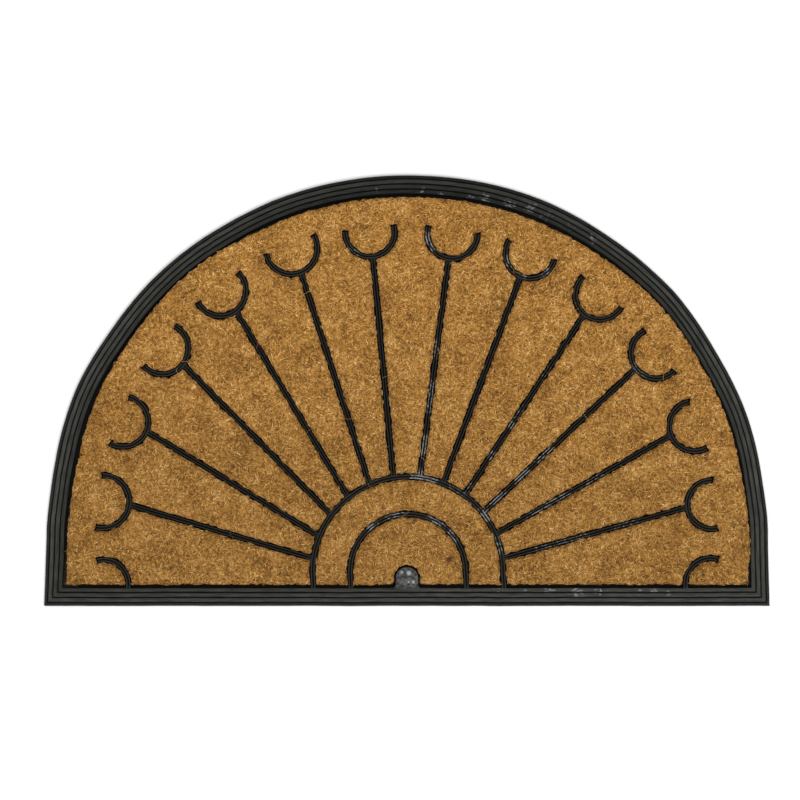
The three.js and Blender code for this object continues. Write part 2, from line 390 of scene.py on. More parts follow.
def sweepRib(line, top, tips=False):
    steps = np.diff(line, axis=0)
    along = steps / np.linalg.norm(steps, axis=1)[:, None]
    turns = np.concatenate([along[:1], along[:-1] + along[1:], along[-1:]])
    turns /= np.linalg.norm(turns, axis=1)[:, None]
    rings = [ribRing(point, turn, top) for point, turn in zip(line, turns)]
    if tips:
        start, end = turns[0], turns[-1]
        before = [ribRing(line[0] - start * (1.0 - back), start, top, *size) for back, *size in ribTip]
        after = [ribRing(line[-1] + end * (1.0 - back), end, top, *size) for back, *size in ribTip]
        rings = before + rings + after[::-1]
    return skin(rings)


def arcLine(centre, radius, start, end):
    count = max(8, int(abs(end - start) * radius / rubber["ribStep"]))
    turns = np.linspace(start, end, count + 1)
    return centre + radius * np.stack([np.cos(turns), np.sin(turns)], 1)


def hubLine(radius):
    arch = arcLine(hubCentre, radius, 0, math.pi)
    legs = np.linspace(0, 1, 14)[:, None]
    right = hubFoot(radius) + legs * (arch[0] - hubFoot(radius))
    left = arch[-1] + legs * (hubFoot(-radius) - arch[-1])
    return aboveBorder(np.concatenate([right[:-1], arch, left[1:]]))


def crescentLine(centre, facing, radius, _):
    middle = facing + math.pi
    half = plan["crescentSpan"] / 2
    return aboveBorder(arcLine(centre, radius, middle - half, middle + half))


def aboveBorder(line):
    # the stretch of a rib's line that lies inside the straight border, cut off where it meets the inner land
    foot = bottomY + rubber["ribFootInset"]
    first, last = np.flatnonzero(line[:, 1] > foot)[[0, -1]]
    points = line[first:last + 1]
    for end, outer in ((0, first - 1), (-1, last + 1)):
        if 0 <= outer < len(line):
            share = (points[end][1] - foot) / (points[end][1] - line[outer][1])
            cut = points[end] + share * (line[outer] - points[end])
            points = np.vstack([cut, points]) if end == 0 else np.vstack([points, cut])
    return points


def makeWeb(place, along, curve, top):
    # the small fillets where a spoke meets an arch of that radius of bend
    across = leftOf(along)
    reach = rubber["webReach"]
    half = [(reach, 2.3), (reach * 0.66, 2.75), (reach * 0.42, 3.7), (reach * 0.3, 5.0)]
    lip = curve * (math.cos(6.6 / abs(curve)) - 1) + halfRib
    half += [(lip, 6.6), (lip - 2.4, 6.2)]
    sides = half + [(u, -v) for u, v in reversed(half)]
    outline = np.array([place + along * u + across * v for u, v in sides])
    middle = place + along * reach * 0.4
    if np.cross(outline[1] - outline[0], outline[-1] - outline[0]) > 0:
        outline = outline[::-1]
    shrunk = [(middle + (outline - middle) * share, top - drop) for share, drop in ((0.9, 0.75), (0.75, 0.6))]
    return stack([(outline, rubber["ribRoot"]), (outline, top - 1.25), *shrunk])


def makeBoss():
    innerY = bottomY + borderWidth

    def outline(grow):
        half = plan["bossRadius"] + grow
        flare = half + plan["bossFlare"]
        head = [(half * math.cos(t), bossHeadY + half * math.sin(t)) for t in np.linspace(0, math.pi, 33)]
        foot = bottomY + rubber["ribFootInset"] - 1
        left = [(-half, innerY + plan["bossFlare"]), (-flare, innerY), (-flare, foot)]
        right = [(flare, foot), (flare, innerY), (half, innerY + plan["bossFlare"])]
        return np.array(right + head + left)

    rounding = ((0, 1.2), (-0.3, 0.4), (-0.9, 0.05), (-2.0, -0.02))
    levels = [(outline(grow), ribTop - drop) for grow, drop in rounding]
    return stack([(outline(0), rubber["ribRoot"]), *levels])


def makeRubber():
    bodies = [makeBorder(), makeBoss()]
    bodies += [sweepRib(hubLine(radius), ribTop, tips=True) for radius in plan["hubRadii"]]
    bodies += [sweepRib(crescentLine(*place), ribTop, tips=True) for place in crescents]
    spokeTop = ribTop - rubber["spokeDrop"]
    for start, end in spokes:
        along = unit(end - start)
        count = int(np.linalg.norm(end - start) / (2 * rubber["ribStep"]))
        inner = start + along * rubber["spokeInset"]
        outer = end - along * rubber["spokeInset"]
        bodies.append(sweepRib(inner + np.linspace(0, 1, count + 1)[:, None] * (outer - inner), spokeTop))
        bodies.append(makeWeb(start, along, plan["hubRadii"][0], spokeTop))
        bodies.append(makeWeb(end, -along, plan["crescentRadius"], spokeTop))
    parts = [placePiece("rubberPart", makeMesh("rubberPart", *body)) for body in bodies]
    tools = bpy.data.collections.new("rubberTools")
    for part in parts[1:]:
        tools.objects.link(part)
    union = parts[0].modifiers.new("union", "BOOLEAN")
    union.operand_type = "COLLECTION"
    union.collection = tools
    union.operation = "UNION"
    union.solver = "MANIFOLD"
    mesh = bakedMesh(parts[0])
    for part in parts:
        bpy.data.objects.remove(part)
    bpy.data.collections.remove(tools)
    return mesh


def paintedLandShading(x, y, inset):
    # painted light and shade on the border, as if lit from the lower right: darkest on its lip and over the
    # top of the arch, lightest at the lower right
    angle = aroundArch(x, y)
    inward = np.clip((inset - 6) / 12, 0, 1)
    top = np.exp(-((angle - 88) / 38) ** 2)
    arch = 1.2 - 0.62 * inward - 0.5 * top * (1 - 0.4 * inward)
    rightLeg = 1 - smooth(-2, 12, angle)
    arch = arch * (1 - rightLeg) + (1.02 - 0.1 * inward) * rightLeg
    arch = arch * (1 - 0.14 * smooth(172, 184, angle))
    straight = 0.93 + 0.13 * x / footHalfWidth
    onStraight = 1 - smooth(-1.0, 1.0, y - bottomY - inset)
    tone = arch * (1 - onStraight) + straight * onStraight
    return tone * (0.45 + 0.55 * smooth(2.4, 4.6, inset))


def landPlaces(x, y, inset):
    # how far along the border a point lies, and how far in
    onStraight = y - bottomY - inset < 0.5
    around = np.arctan2(np.maximum(y - archCentreY, 0), x) * archRadius
    rise = np.minimum(y - archCentreY, 0) * np.sign(x)
    along = np.where(onStraight, x + 3000, around + rise)
    return np.column_stack([along, inset, np.zeros(len(x))])


def finishRubber(mesh):
    # the moulded edge and ribs wander a little, and every point learns whether it lies in a groove or low
    # among the ribs, where the material paints shade
    count = len(mesh.vertices)
    places = np.empty(count * 3)
    mesh.vertices.foreach_get("co", places)
    places = places.reshape(-1, 3) / mm
    x, y, z = places.T
    inset = insetOf(x, y)
    # painted shade: a mask of the grooves and the low places among the ribs
    recessShade = np.zeros(count)
    for index in range(rubber["grooveCount"]):
        middle = rubber["grooveFirst"] + index * rubber["groovePitch"]
        recessShade = np.maximum(recessShade, 1 - smooth(0.35, 1.3, np.abs(inset - middle)))
    onRibs = smooth(borderWidth - 0.3, borderWidth + 0.6, inset)
    low = 1 - smooth(ribTop - 1.0, ribTop - 0.35, z)
    recessShade = np.where(inset > borderWidth - 0.6, low, recessShade)
    for axis in (0, 1):
        slow = grain(places[:, :2], rubber["slowWave"], 3.0 + axis)
        quick = grain(places[:, :2], rubber["quickWave"], 7.0 + axis)
        places[:, axis] += rubber["waviness"] * (slow + 0.35 * quick)
    lift = rubber["topWaviness"] * grain(places[:, :2], rubber["topWave"], 12.0)
    places[:, 2] += lift * smooth(1.0, 4.0, z)
    mesh.vertices.foreach_set("co", (places * mm).ravel())
    writeValues(mesh, "recessShade", recessShade)
    writeValues(mesh, "onRibs", onRibs)
    writeValues(mesh, "paintedLandShading", paintedLandShading(x, y, inset))
    writeValues(mesh, "ribPlace", ribPlaces(x, y) * mm, "FLOAT_VECTOR")
    writeValues(mesh, "landPlace", landPlaces(x, y, inset) * mm, "FLOAT_VECTOR")
    shadeRound(mesh, rubber["sharpFrom"])
    mesh.update()
    return mesh


# Coir fields

coir = {
    "gap": 0.8,
    "pocket": 0.9,
    "gridStep": 2.5,
    "edgeStep": 0.8,
    "wallTop": 8.3,
    "roundOver": 2.2,
    "lumpHeight": 0.55,
    "floor": 2.8,
    "ragged": 1.0,
    "bottomGap": -1.6,
    "bossGap": 1.1,
    "sharpFrom": 50,
}
# the lumps of the pile and the fraying of its edge: size, share and seed
pileLumps = [(14.0, 1.0, 1.0), (6.0, 0.7, 2.0), (3.2, 0.45, 4.0)]
edgeFray = [(5.2, 1.3, 21.0), (2.3, 1.3, 22.0)]
# How far the fill stops short of the border, by angle round the arch; it was packed tight low on the right
fillGap = {
    "angle": [-9, -4.5, -2.5, 4, 15, 28, 37, 46, 53, 67, 82, 97, 112, 127, 142, 157, 172, 184, 190],
    "gap": [2.4, 1.2, -0.6, 0.4, 1.3, 0.7, -0.2, 0.7, 1.6, 2.8, 2.8, 2.7, 2.7, 0.7, 2.1, 3.5, 2.8, 2.2, 2.2],
}


def roomAt(x, y):
    # how deep inside its field a point lies: nothing at the field's edge, less than nothing outside
    straight = y - bottomY - borderWidth - coir["bottomGap"]
    arched = insetOf(x, y) - borderWidth - eased(fillGap, "gap", aroundArch(x, y))
    rib = ribDistance(x, y, coir["pocket"]) - halfRib
    boss = bossDistance(x, y) - coir["bossGap"]
    return np.minimum(np.minimum(straight, arched), np.minimum(rib, boss)) - coir["gap"]


def raggedRoom(points):
    # the room with a frayed edge, which never lies over the border
    room = roomAt(*points.T) - coir["ragged"] * (0.55 + grains(points, edgeFray))
    return np.minimum(room, insetOf(*points.T) - borderWidth - 0.05)


def roomSlope(points, step=0.2):
    x, y = points.T
    eastward = roomAt(x + step, y) - roomAt(x - step, y)
    northward = roomAt(x, y + step) - roomAt(x, y - step)
    return np.stack([eastward, northward], 1) / (2 * step)


def hexGrid(low, high, step):
    rowStep = step * 0.866
    rows = int((high[1] - low[1]) / rowStep) + 1
    columns = int((high[0] - low[0]) / step) + 1
    row, column = np.meshgrid(np.arange(rows), np.arange(columns), indexing="ij")
    x = low[0] + (column + 0.5 * (row % 2)) * step
    y = low[1] + row * rowStep
    return np.stack([x.ravel(), y.ravel()], 1)


def thinned(points, spacing):
    # one point for each small cell
    cells = np.round(points / spacing).astype(int)
    kept = np.unique(cells, axis=0, return_index=True)[1]
    return points[np.sort(kept)]


def fieldPoints(within):
    # a loose grid for the inside, and finer points brought onto the frayed edge itself
    margin = borderWidth - 1
    low = (-footHalfWidth + margin, bottomY + margin)
    high = (footHalfWidth - margin, rubberHigh[1] - margin)
    dice = np.random.default_rng(5)
    inner = hexGrid(low, high, coir["gridStep"])
    inner = inner + dice.uniform(-0.28, 0.28, inner.shape) * coir["gridStep"]
    inner = inner[within(inner)]
    inner = inner[roomAt(*inner.T) > 0.5 * coir["gridStep"] + coir["ragged"]]
    edge = hexGrid(low, high, coir["edgeStep"])
    edge = edge[within(edge)]
    edge = edge[np.abs(roomAt(*edge.T)) < 1.6]
    for _ in range(4):
        slope = roomSlope(edge)
        size = np.maximum((slope * slope).sum(1), 0.25)
        edge = edge - slope * (raggedRoom(edge) / size)[:, None]
    edge = edge[np.abs(raggedRoom(edge)) < 0.05]
    return inner, thinned(edge, coir["edgeStep"])


def borderEdges(triangles):
    # the edges that only one triangle has, in that triangle's direction
    sides = np.concatenate([triangles[:, [0, 1]], triangles[:, [1, 2]], triangles[:, [2, 0]]])
    ordered = np.sort(sides, 1)
    _, first, counts = np.unique(ordered, axis=0, return_index=True, return_counts=True)
    return sides[first[counts == 1]]


def fieldTriangles(inner, edge):
    points = np.concatenate([inner, edge])
    found = geometry.delaunay_2d_cdt([tuple(p) for p in points], [], [], 0, 1e-6)
    points = np.array([tuple(p) for p in found[0]])
    triangles = np.array(found[2])
    longest = np.linalg.norm(points[triangles] - points[np.roll(triangles, 1, 1)], axis=2).max(1)
    inside = raggedRoom(points[triangles].mean(1)) > 0.02
    triangles = triangles[inside & (longest < 2.6 * coir["gridStep"])]
    for _ in range(12):
        # where two stretches of edge touch at one point, the triangles there go
        outer = borderEdges(triangles)
        touched, counts = np.unique(outer, return_counts=True)
        pinched = touched[counts > 2]
        if not len(pinched):
            break
        triangles = triangles[~np.isin(triangles, pinched).any(1)]
    return points, largestPatch(triangles)


def largestPatch(triangles):
    # the triangles that hang together with most others
    parent = {}

    def root(i):
        while parent.setdefault(i, i) != i:
            parent[i] = parent[parent[i]]
            i = parent[i]
        return i

    for a, b, c in triangles.tolist():
        parent[root(a)] = root(b)
        parent[root(b)] = root(c)
    roots = np.array([root(a) for a in triangles[:, 0].tolist()])
    names, counts = np.unique(roots, return_counts=True)
    return triangles[roots == names[counts.argmax()]]


def makeField(name, within):
    points, triangles = fieldTriangles(*fieldPoints(within))
    used, triangles = np.unique(triangles, return_inverse=True)
    points, triangles = points[used], triangles.reshape(-1, 3)
    room = np.maximum(raggedRoom(points), 0)
    share = np.clip(room / coir["roundOver"], 0, 1)
    top = pileTop - (pileTop - coir["wallTop"]) * (1 - share) ** 2.2
    top = top + coir["lumpHeight"] * grains(points, pileLumps) * smooth(0, 4, room) - 0.25
    outer = borderEdges(triangles)
    rim = np.unique(outer)
    below = np.full(len(points), -1)
    below[rim] = len(points) + np.arange(len(rim))
    vertices = np.concatenate([
        np.column_stack([points, top]),
        np.column_stack([points[rim], np.full(len(rim), coir["floor"])]),
    ])
    walls = [(b, a, below[a], below[b]) for a, b in outer]
    order = {int(v): i for i, v in enumerate(rim)}
    sides = [(order[int(a)], order[int(b)]) for a, b in outer]
    base = geometry.delaunay_2d_cdt([tuple(p) for p in points[rim]], sides, [], 1, 1e-9)
    source = [ids[0] for ids in base[3]]
    floor = [tuple(int(len(points) + source[i]) for i in reversed(face)) for face in base[2]]
    mesh = makeMesh(name, vertices, [tuple(t) for t in triangles.tolist()] + walls + floor)
    slope = roomSlope(points)
    size = np.maximum(np.linalg.norm(slope, axis=1), 0.2)
    along = np.stack([-slope[:, 1] / size, slope[:, 0] / size, np.zeros(len(points))], 1)
    writeValues(mesh, "edgeRoom", np.concatenate([room, room[rim]]) * mm)
    writeValues(mesh, "edgeAlong", np.concatenate([along, along[rim]]), "FLOAT_VECTOR")
    shadeRound(mesh, coir["sharpFrom"])
    first, second, third = (points[triangles[:, corner]] for corner in range(3))
    (ax, ay), (bx, by) = (second - first).T, (third - first).T
    area = 0.5 * np.abs(ax * by - ay * bx).sum()
    print(name, len(mesh.polygons), "faces", round(area / 100), "cm2")
    return placePiece(name, mesh), area * mm * mm


def withinHub(points, radius):
    x, y = points.T
    below = np.maximum(hubCentre[1] - y, 0)
    lean = plan["hubFootShift"] * below / (hubCentre[1] - hubFoot(0)[1])
    x = x - hubCentre[0]
    return np.where(below > 0, np.abs(x - lean) < radius, np.hypot(x, y - hubCentre[1]) < radius)


# Node helpers, for geometry and shader trees alike; most find the tree by a socket that they are given

def treeOf(*values):
    return next(value.id_data for value in values if isinstance(value, bpy.types.NodeSocket))


def feed(socket, value):
    # links another node's output to a socket, or gives it a fixed value
    if isinstance(value, bpy.types.NodeSocket):
        socket.id_data.links.new(value, socket)
    else:
        socket.default_value = value


def addNode(tree, kind, inputs=None, **settings):
    node = tree.nodes.new(kind)
    for name, value in settings.items():
        setattr(node, name, value)
    for name, value in (inputs or {}).items():
        feed(node.inputs[name], value)
    return node


def made(tree, kind, inputs=None, **settings):
    return addNode(tree, kind, inputs, **settings).outputs[0]


def maths(operation, *values, clamp=False):
    inputs = dict(enumerate(values))
    return made(treeOf(*values), "ShaderNodeMath", inputs, operation=operation, use_clamp=clamp)


def plus(first, second):
    return maths("ADD", first, second)


def minus(first, second):
    return maths("SUBTRACT", first, second)


def times(first, second):
    return maths("MULTIPLY", first, second)


def vectorMaths(operation, *values):
    node = addNode(treeOf(*values), "ShaderNodeVectorMath", dict(enumerate(values)), operation=operation)
    return node.outputs["Value" if operation == "DISTANCE" else "Vector"]


def joined(tree, x=0.0, y=0.0, z=0.0):
    return made(tree, "ShaderNodeCombineXYZ", {0: x, 1: y, 2: z})


def parted(vector):
    return addNode(vector.id_data, "ShaderNodeSeparateXYZ", {0: vector}).outputs


def noiseOf(where, scale, detail=2.0, roughness=0.5, output="Fac"):
    inputs = {"Vector": where, "Scale": scale, "Detail": detail, "Roughness": roughness}
    return addNode(where.id_data, "ShaderNodeTexNoise", inputs).outputs[output]


def newGroup(kind, name, inputs, outputs):
    # a node group, its inputs' sockets given by kind and first value
    tree = bpy.data.node_groups.new(name, kind + "NodeTree")
    for label, (socket, value) in inputs.items():
        opened = tree.interface.new_socket(label, in_out="INPUT", socket_type="NodeSocket" + socket)
        if value is not None:
            opened.default_value = value
    for label, socket in outputs.items():
        tree.interface.new_socket(label, in_out="OUTPUT", socket_type="NodeSocket" + socket)
    return tree, tree.nodes.new("NodeGroupInput").outputs, tree.nodes.new("NodeGroupOutput").inputs


# What the trees of strands and hairs share

def newGrowth(name, sizes, others):
    inputs = {"Geometry": ("Geometry", None), "Material": ("Material", None), **others}
    inputs.update({label: ("Float", value) for label, value in sizes.items()})
    return newGroup("Geometry", name, inputs, {"Geometry": "Geometry"})


def drawn(seed, rows):
    # random numbers for each point, by the name of what they are for
    numbers = {}
    for name, (low, high, shift) in rows.items():
        inputs = {"Seed": plus(seed, shift)}
        node = addNode(seed.id_data, "FunctionNodeRandomValue", inputs, data_type="FLOAT")
        for socket, value in zip([s for s in node.inputs if s.enabled], (low, high)):
            socket.default_value = value
        numbers[name] = next(s for s in node.outputs if s.enabled)
    return numbers


def attributeOf(tree, name, kind="FLOAT"):
    return made(tree, "GeometryNodeInputNamedAttribute", {"Name": name}, data_type=kind)


def keepAs(shape, name, value, kind="FLOAT", domain="INSTANCE"):
    inputs = {"Geometry": shape, "Name": name, "Value": value}
    return made(shape.id_data, "GeometryNodeStoreNamedAttribute", inputs, data_type=kind, domain=domain)


def facingUp(tree, least):
    return maths("GREATER_THAN", parted(made(tree, "GeometryNodeInputNormal"))["Z"], least)


def scattered(given, chosen, density):
    inputs = {0: given["Geometry"], "Selection": chosen, "Density": given[density], "Seed": given["Seed"]}
    return made(chosen.id_data, "GeometryNodeDistributePointsOnFaces", inputs)


def copiesOn(points, copied, rotation, scale):
    inputs = {"Points": points, "Instance": copied, "Rotation": rotation, "Scale": scale}
    return made(points.id_data, "GeometryNodeInstanceOnPoints", inputs)


def movedBy(shape, offset):
    return made(shape.id_data, "GeometryNodeSetPosition", {"Geometry": shape, "Offset": offset})


def realized(copies):
    return made(copies.id_data, "GeometryNodeRealizeInstances", {0: copies})


def finishTree(shape, given, result):
    inputs = {"Geometry": shape, "Material": given["Material"]}
    feed(result[0], made(shape.id_data, "GeometryNodeSetMaterial", inputs))
    return shape.id_data


def growOn(base, tree, name, values):
    # runs the tree on a copy of base and leaves a plain mesh
    grown = placePiece(name, base.data)
    modifier = grown.modifiers.new(tree.name, "NODES")
    modifier.node_group = tree
    sockets = {i.name: i.identifier for i in tree.interface.items_tree if i.in_out == "INPUT"}
    for label, value in values.items():
        modifier[sockets[label]] = value
    mesh = bakedMesh(grown)
    grown.modifiers.remove(modifier)
    grown.data = mesh
    mesh.name = name
    for attribute in [a.name for a in mesh.attributes if a.name in ("edgeAlong", "cell")]:
        mesh.attributes.remove(mesh.attributes[attribute])
    print(name, len(mesh.polygons), "faces")
    return grown


# Coir strands: short bent slivers that lie any way, felted into the top of each field

strands = {
    "Strands per m2": 770000.0,
    "Length": 0.0056,
    "Width": 0.00054,
    "Tilt": 0.2,
    "Overhang": 0.0005,
    "Sink": 0.0004,
    "Lock Scale": 95.0,
}
sliverBend = 0.8
# what each strand draws for itself: the least and the most, and the shift of its seed
strandDraws = {
    "halfLength": (0.32, 0.66, 1),
    "overhang": (-0.4, 1.3, 2),
    "lay": (-0.42, 0.42, 3),
    "tilt": (-1.0, 1.0, 4),
    "roll": (0.0, 6.283, 5),
    "width": (0.65, 1.35, 6),
    "bend": (0.4, 1.4, 7),
    "sink": (-1.2, 1.0, 8),
    "tone": (0.0, 1.0, 9),
}
# each field's strands lie on a map of so many cells a side, one cell to a strand
mapCells = {"coirFan": 216.0, "coirRing": 96.0, "coirCore": 96.0}


def makeSliver():
    # a bent four-faced sliver, a unit long and a unit wide, with room for each face in its map
    vertices = np.array([(-0.5, 0, 0), (0.5, 0, 0), (-0.12, sliverBend, -0.42), (0.12, sliverBend, 0.5)]) / mm
    mesh = makeMesh("sliver", vertices, [(0, 2, 1), (0, 1, 3), (0, 3, 2), (1, 2, 3)])
    uv = mesh.uv_layers.new(name="OFBake")
    for face in mesh.polygons:
        for loop in face.loop_indices:
            corner = mesh.vertices[mesh.loops[loop].vertex_index].co
            across = corner.y * mm / sliverBend
            uv.data[loop].uv = (corner.x * mm + 0.5, (face.index + 0.15 + 0.7 * across) / 4)
    return placePiece("sliver", mesh)


def strandTree():
    tree, given, result = newGrowth("coirStrands", strands, {
        "Strand": ("Object", None),
        "From Angle": ("Float", 0.0),
        "To Angle": ("Float", 360.0),
        "Map Cells": ("Float", mapCells["coirFan"]),
        "Seed": ("Int", 1),
    })
    draw = drawn(given["Seed"], strandDraws)
    cells = given["Map Cells"]
    where = made(tree, "GeometryNodeInputPosition")
    place = parted(where)
    # the strands of one sector about the hub
    turn = maths("ARCTAN2", minus(place["Y"], hubCentre[1] * mm), place["X"])
    degrees = maths("WRAP", times(turn, 180 / math.pi), 270.0, -90.0)
    after = maths("GREATER_THAN", degrees, given["From Angle"])
    before = maths("LESS_THAN", degrees, given["To Angle"])
    points = scattered(given, times(facingUp(tree, 0.3), times(after, before)), "Strands per m2")
    # near the field's edge a strand lies along it, and further in it turns freely, in locks of like direction
    half = times(given["Length"], draw["halfLength"])
    reach = plus(attributeOf(tree, "edgeRoom"), times(given["Overhang"], draw["overhang"]))
    free = maths("ARCSINE", maths("DIVIDE", reach, half, clamp=True))
    along = parted(attributeOf(tree, "edgeAlong", "FLOAT_VECTOR"))
    lay = plus(times(noiseOf(where, given["Lock Scale"], 1.0), 9.0), draw["lay"])
    yaw = plus(maths("ARCTAN2", along["Y"], along["X"]), times(free, maths("WRAP", lay, 1.0, -1.0)))
    turned = joined(tree, draw["roll"], times(given["Tilt"], draw["tilt"]), yaw)
    width = times(given["Width"], draw["width"])
    size = joined(tree, times(half, 2.0), times(width, draw["bend"]), width)
    sunk = movedBy(points, joined(tree, z=times(given["Sink"], draw["sink"])))
    sliver = addNode(tree, "GeometryNodeObjectInfo", {"Object": given["Strand"]}).outputs["Geometry"]
    copies = keepAs(copiesOn(sunk, sliver, turned, size), "strandTone", draw["tone"])
    # each strand's map goes to a cell of its own
    index = made(tree, "GeometryNodeInputIndex")
    cell = joined(tree, maths("MODULO", index, cells), maths("FLOOR", maths("DIVIDE", index, cells)))
    real = realized(keepAs(copies, "cell", cell, "FLOAT_VECTOR"))
    own = attributeOf(tree, "OFBake", "FLOAT_VECTOR")
    inside = vectorMaths("MULTIPLY_ADD", own, (0.86, 0.86, 0), (0.07, 0.07, 0))
    shifted = vectorMaths("ADD", inside, attributeOf(tree, "cell", "FLOAT_VECTOR"))
    shrink = maths("DIVIDE", 1.0, cells)
    onMap = made(tree, "ShaderNodeVectorMath", {0: shifted, "Scale": shrink}, operation="SCALE")
    return finishTree(keepAs(real, "OFBake", onMap, "FLOAT2", "CORNER"), given, result)


# Loose hairs: long thin strands that have worked free and lie over the fields, the ribs and the border

hairs = {
    "Hairs per m2": 900.0,
    "Length": 0.014,
    "Radius": 0.00013,
    "Wander": 0.0042,
    "Lift": 0.0007,
}
hairPoints = 10
hairDraws = {
    "tilt": (-0.03, 0.03, 1),
    "yaw": (0.0, 6.283, 2),
    "length": (0.45, 1.6, 3),
    "tone": (0.45, 1.0, 4),
}


def hairTree():
    tree, given, result = newGrowth("looseHairs", hairs, {"Seed": ("Int", 40)})
    draw = drawn(given["Seed"], hairDraws)
    points = scattered(given, facingUp(tree, 0.6), "Hairs per m2")
    line = made(tree, "GeometryNodeCurvePrimitiveLine", {"Start": (-0.5, 0, 0), "End": (0.5, 0, 0)})
    stepped = made(tree, "GeometryNodeResampleCurve", {"Curve": line, "Count": hairPoints})
    turned = joined(tree, 0.0, draw["tilt"], draw["yaw"])
    length = times(given["Length"], draw["length"])
    copies = copiesOn(points, stepped, turned, joined(tree, length, length, length))
    real = realized(keepAs(copies, "strandTone", draw["tone"]))
    # the hairs sway sideways much more than up and down
    swirl = noiseOf(made(tree, "GeometryNodeInputPosition"), 75.0, 1.0, output="Color")
    sideways = times(given["Wander"], 4.0)
    strength = joined(tree, sideways, sideways, times(given["Wander"], 0.12))
    swayed = vectorMaths("MULTIPLY", vectorMaths("SUBTRACT", swirl, (0.5, 0.5, 0.5)), strength)
    bent = movedBy(real, vectorMaths("ADD", swayed, joined(tree, z=given["Lift"])))
    circle = made(tree, "GeometryNodeCurvePrimitiveCircle", {"Resolution": 3, "Radius": given["Radius"]})
    tube = made(tree, "GeometryNodeCurveToMesh", {"Curve": bent, "Profile Curve": circle, "Fill Caps": True})
    return finishTree(tube, given, result)


# Materials

def newMaterial(name, roughness, specular):
    material = bpy.data.materials.new(name)
    material.use_nodes = True
    tree = material.node_tree
    shader = tree.nodes["Principled BSDF"].inputs
    shader["Roughness"].default_value = roughness
    shader["Specular IOR Level"].default_value = specular
    return material, tree, shader


def groupOf(tree, group, inputs):
    return made(tree, "ShaderNodeGroup", inputs, node_tree=group)


def ramp(value, stops):
    node = addNode(value.id_data, "ShaderNodeValToRGB", {0: value})
    elements = node.color_ramp.elements
    while len(elements) < len(stops):
        elements.new(0.5)
    for element, (place, colour) in zip(elements, stops):
        element.position = place
        element.color = (*colour, 1.0)
    return node.outputs["Color"]


def mixed(share, first, second, blend="MIX"):
    node = addNode(treeOf(share, first, second), "ShaderNodeMix", data_type="RGBA", blend_type=blend)
    for number, value in ((0, share), (6, first), (7, second)):
        feed(node.inputs[number], (*value, 1.0) if isinstance(value, tuple) else value)
    return node.outputs[2]


def tinted(colour, tint, share=1.0):
    return mixed(share, colour, tint, "MULTIPLY")


def grey(value):
    return made(value.id_data, "ShaderNodeCombineColor", {channel: value for channel in range(3)})


def rangeOf(value, low, high, fromValue=0.0, toValue=1.0):
    inputs = {0: value, 1: low, 2: high, 3: fromValue, 4: toValue}
    return made(value.id_data, "ShaderNodeMapRange", inputs, interpolation_type="SMOOTHSTEP")


def squeezed(vector, share):
    # a pattern laid out by this vector is drawn out along x
    return made(vector.id_data, "ShaderNodeMapping", {"Vector": vector, "Scale": (share, 1.0, 1.0)})


def reliefOf(height, strength, distance):
    inputs = {"Height": height, "Strength": strength, "Distance": distance}
    return made(height.id_data, "ShaderNodeBump", inputs)


def objectPlace(tree):
    return addNode(tree, "ShaderNodeTexCoord").outputs["Object"]


def shaderAttribute(tree, name, output="Fac"):
    return addNode(tree, "ShaderNodeAttribute", attribute_name=name).outputs[output]


def makeSpotGroup():
    # a soft round mask about a place
    tree, given, result = newGroup("Shader", "spotMask", {
        "Place": ("Vector", None), "Centre": ("Vector", None), "Radius": ("Float", 0.01),
    }, {"Mask": "Float"})
    flat = vectorMaths("MULTIPLY", given["Place"], (1, 1, 0))
    away = vectorMaths("DISTANCE", flat, given["Centre"])
    feed(result["Mask"], rangeOf(away, times(given["Radius"], 0.35), given["Radius"], 1.0, 0.0))
    return tree


spotGroup = makeSpotGroup()


def spotsIn(where, spots):
    # the strongest of several soft round masks; each row is x, y, radius and strength, in millimetres
    total = None
    for x, y, radius, strength in spots:
        spot = {"Place": where, "Centre": (x * mm, y * mm, 0.0), "Radius": radius * mm}
        mask = times(groupOf(where.id_data, spotGroup, spot), strength)
        total = mask if total is None else maths("MAXIMUM", total, mask)
    return total


coirLook = {
    "shade": (0.085, 0.038, 0.007),
    "deep": (0.235, 0.106, 0.017),
    "middle": (0.485, 0.238, 0.044),
    "pale": (0.64, 0.375, 0.105),
    "straw": (0.8, 0.56, 0.25),
    "burnt": (0.045, 0.03, 0.011),
    "bleached": (0.9, 0.66, 0.33),
    "paintedEdgeShade": (0.52, 0.40, 0.30),
    "stained": (0.34, 0.33, 0.36),
    "feltDepthShade": (0.62, 0.57, 0.52),
    "patchScale": 52.0,
    "fleckScale": 340.0,
    "edgeShadeScale": 34.0,
    "glossScale": 900.0,
    "feltScale": 780.0,
}
coirStains = [
    # x, y, radius, strength
    (43.6, -174.3, 5.0, 1.0),
    (204.0, -187.5, 9.0, 0.28),
    (-170.0, -60.0, 30.0, 0.12),
    (96.0, 84.0, 26.0, 0.12),
]


